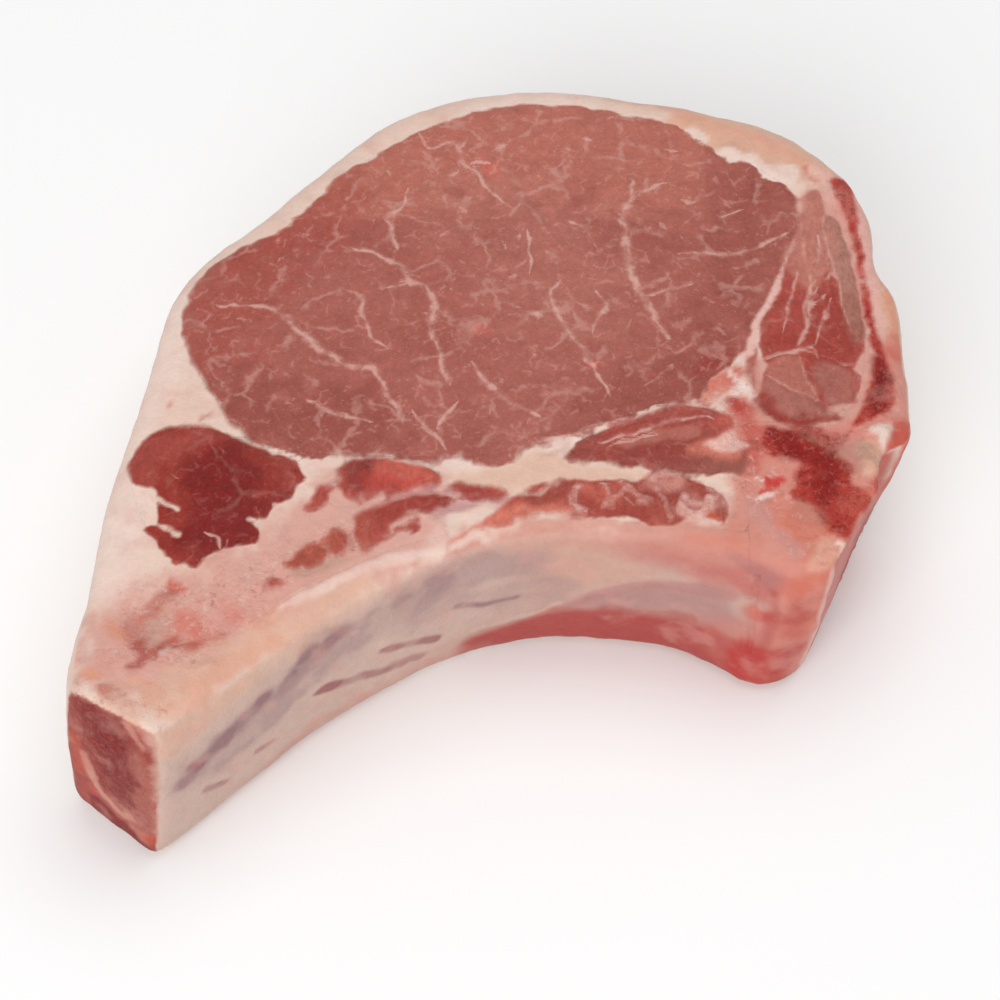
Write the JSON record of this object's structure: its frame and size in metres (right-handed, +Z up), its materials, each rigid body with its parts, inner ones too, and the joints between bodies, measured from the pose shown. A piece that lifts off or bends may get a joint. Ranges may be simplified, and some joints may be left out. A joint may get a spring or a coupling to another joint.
{
  "type": "raw pork chop",
  "caption": "Thick raw bone-in pork rib chop lying on its cut face: marbled loin eye, fat cap, smaller dark muscles, curved rib with a sawn end and split vertebra with feather bone.",
  "frame": {"origin": "middle of the chop's bounding box at its lower cut face, where it rests", "axes": "+Z up through the thickness, +Y from the rib towards the fat cap's crown, +X from the rib's sawn end towards the vertebra"},
  "size_m": [0.1337, 0.1354, 0.0349],
  "materials": {
    "fat": "soft creamy pink-white fat, satin",
    "loin_eye": "pale pinkish-brown lean with fine white marbling, moist satin",
    "dark_muscle": "dark maroon lean, moist satin",
    "back_muscle": "pink-red lean with pale seams, moist satin",
    "side_muscle": "greyish-brown lean, satin",
    "under_muscle": "dull pink-red lean with pale streaks, satin",
    "intercostal_muscle": "pink-red lean under folds of pale membrane, wet satin",
    "strap_muscle": "orange-red lean, wet satin",
    "rib_muscle": "dark red lean streaked with pale membrane, satin",
    "rib_bone": "pale pink membrane with bluish streaks over bone; sawn end of dark red marrow",
    "vertebra": "sawn spongy red bone with pink gristle and pale rim, moist"
  },
  "bodies": {
    "root": {"fat": "fat", "loin_eye": "loin_eye", "dark_muscle": "dark_muscle", "back_muscle": "back_muscle", "side_muscle": "side_muscle", "under_muscle": "under_muscle", "intercostal_muscle": "intercostal_muscle", "strap_muscle": "strap_muscle", "rib_muscle": "rib_muscle", "rib_bone": "rib_bone", "vertebra": "vertebra"}
  },
  "joints": []
}
